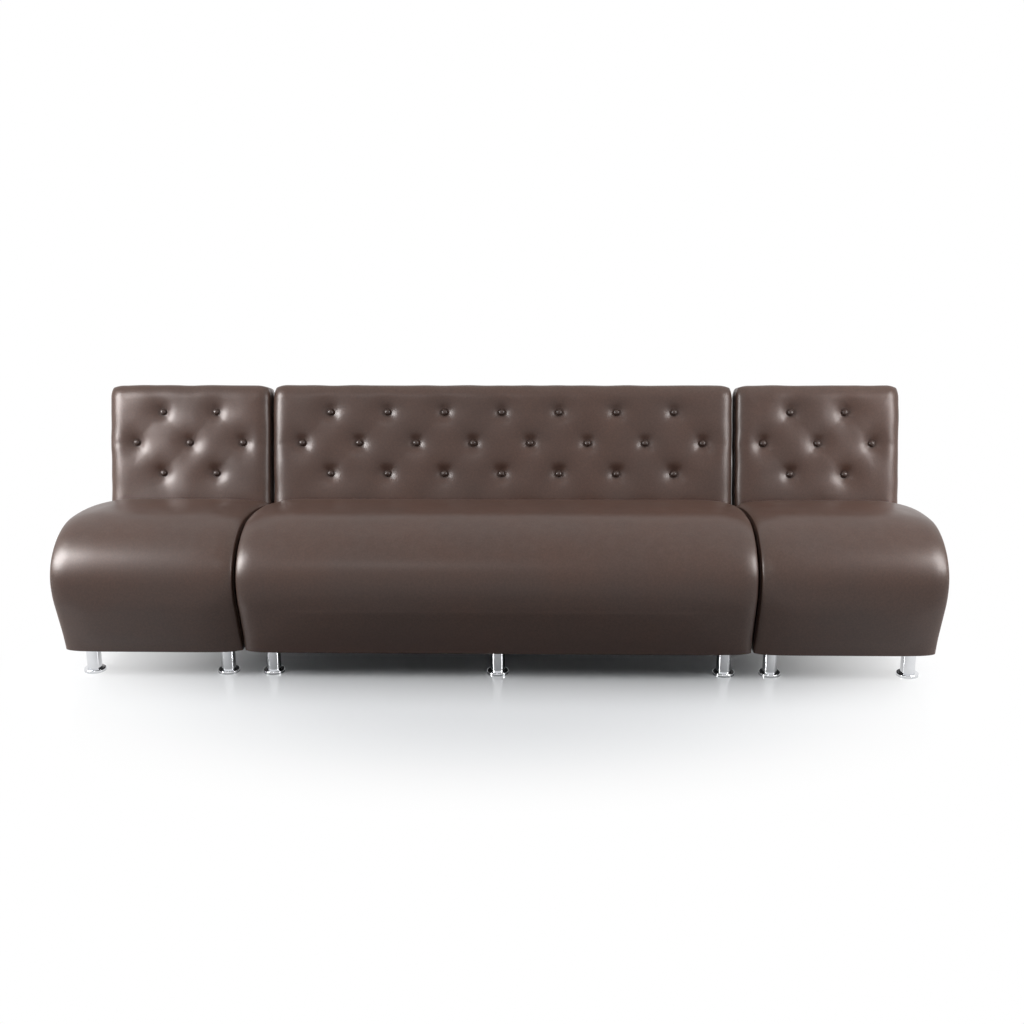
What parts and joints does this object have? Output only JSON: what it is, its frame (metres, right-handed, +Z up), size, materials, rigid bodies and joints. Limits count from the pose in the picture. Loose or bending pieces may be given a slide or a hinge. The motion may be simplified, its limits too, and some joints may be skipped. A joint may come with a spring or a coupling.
{
  "type": "waiting room seating row",
  "caption": "Armless modular waiting room seating row: rolled upholstered seats, reclined buttoned backs and chrome tube legs with levelling feet.",
  "frame": {"origin": "on the floor, under the middle of the row's bounding box", "axes": "+X along the row to the sitter's left, which is the viewer's right in a front view; +Y to the rear; +Z up. The seats face -Y"},
  "size_m": [2.6874, 0.7718, 0.8238],
  "materials": {
    "leatherette": "dark brown grained leatherette, satin",
    "leatherette_buttons": "the same leatherette stretched over button shells",
    "foam": "open cell polyurethane foam",
    "plywood": "sanded birch plywood and pine",
    "fibreboard": "raw hardboard",
    "webbing": "woven elastic strap",
    "base_cloth": "black spunbond dust cloth",
    "zinc_steel": "zinc plated",
    "chrome_legs": "polished chrome",
    "chrome_feet": "polished chrome"
  },
  "bodies": {
    "root": {"left_seat_cover": "leatherette", "left_seat_foam": "foam", "left_seat_frame": "plywood", "left_seat_webbing": "webbing", "left_base_cloth": "base_cloth", "left_back_cover": "leatherette", "left_back_foam": "foam", "left_back_frame": "plywood", "left_back_board": "fibreboard", "left_buttons": "leatherette_buttons", "centre_seat_cover": "leatherette", "centre_seat_foam": "foam", "centre_seat_frame": "plywood", "centre_seat_webbing": "webbing", "centre_base_cloth": "base_cloth", "centre_back_cover": "leatherette", "centre_back_foam": "foam", "centre_back_frame": "plywood", "centre_back_board": "fibreboard", "centre_buttons": "leatherette_buttons", "right_seat_cover": "leatherette", "right_seat_foam": "foam", "right_seat_frame": "plywood", "right_seat_webbing": "webbing", "right_base_cloth": "base_cloth", "right_back_cover": "leatherette", "right_back_foam": "foam", "right_back_frame": "plywood", "right_back_board": "fibreboard", "right_buttons": "leatherette_buttons", "leg_screws": "zinc_steel", "back_bolts": "zinc_steel", "left_leg_1": "chrome_legs", "left_leg_2": "chrome_legs", "left_leg_3": "chrome_legs", "left_leg_4": "chrome_legs", "centre_leg_1": "chrome_legs", "centre_leg_2": "chrome_legs", "centre_leg_3": "chrome_legs", "centre_leg_4": "chrome_legs", "centre_leg_5": "chrome_legs", "centre_leg_6": "chrome_legs", "right_leg_1": "chrome_legs", "right_leg_2": "chrome_legs", "right_leg_3": "chrome_legs", "right_leg_4": "chrome_legs"},
    "left_foot_1": {"left_foot_1": "chrome_feet"},
    "left_foot_2": {"left_foot_2": "chrome_feet"},
    "left_foot_3": {"left_foot_3": "chrome_feet"},
    "left_foot_4": {"left_foot_4": "chrome_feet"},
    "centre_foot_1": {"centre_foot_1": "chrome_feet"},
    "centre_foot_2": {"centre_foot_2": "chrome_feet"},
    "centre_foot_3": {"centre_foot_3": "chrome_feet"},
    "centre_foot_4": {"centre_foot_4": "chrome_feet"},
    "centre_foot_5": {"centre_foot_5": "chrome_feet"},
    "centre_foot_6": {"centre_foot_6": "chrome_feet"},
    "right_foot_1": {"right_foot_1": "chrome_feet"},
    "right_foot_2": {"right_foot_2": "chrome_feet"},
    "right_foot_3": {"right_foot_3": "chrome_feet"},
    "right_foot_4": {"right_foot_4": "chrome_feet"}
  },
  "joints": [
    {"name": "left_foot_1_height", "type": "slide", "parent": "root", "child": "left_foot_1", "axis": [0, 0, -1], "range_m": [0, 0.015]},
    {"name": "left_foot_2_height", "type": "slide", "parent": "root", "child": "left_foot_2", "axis": [0, 0, -1], "range_m": [0, 0.015]},
    {"name": "left_foot_3_height", "type": "slide", "parent": "root", "child": "left_foot_3", "axis": [0, 0, -1], "range_m": [0, 0.015]},
    {"name": "left_foot_4_height", "type": "slide", "parent": "root", "child": "left_foot_4", "axis": [0, 0, -1], "range_m": [0, 0.015]},
    {"name": "centre_foot_1_height", "type": "slide", "parent": "root", "child": "centre_foot_1", "axis": [0, 0, -1], "range_m": [0, 0.015]},
    {"name": "centre_foot_2_height", "type": "slide", "parent": "root", "child": "centre_foot_2", "axis": [0, 0, -1], "range_m": [0, 0.015]},
    {"name": "centre_foot_3_height", "type": "slide", "parent": "root", "child": "centre_foot_3", "axis": [0, 0, -1], "range_m": [0, 0.015]},
    {"name": "centre_foot_4_height", "type": "slide", "parent": "root", "child": "centre_foot_4", "axis": [0, 0, -1], "range_m": [0, 0.015]},
    {"name": "centre_foot_5_height", "type": "slide", "parent": "root", "child": "centre_foot_5", "axis": [0, 0, -1], "range_m": [0, 0.015]},
    {"name": "centre_foot_6_height", "type": "slide", "parent": "root", "child": "centre_foot_6", "axis": [0, 0, -1], "range_m": [0, 0.015]},
    {"name": "right_foot_1_height", "type": "slide", "parent": "root", "child": "right_foot_1", "axis": [0, 0, -1], "range_m": [0, 0.015]},
    {"name": "right_foot_2_height", "type": "slide", "parent": "root", "child": "right_foot_2", "axis": [0, 0, -1], "range_m": [0, 0.015]},
    {"name": "right_foot_3_height", "type": "slide", "parent": "root", "child": "right_foot_3", "axis": [0, 0, -1], "range_m": [0, 0.015]},
    {"name": "right_foot_4_height", "type": "slide", "parent": "root", "child": "right_foot_4", "axis": [0, 0, -1], "range_m": [0, 0.015]}
  ]
}
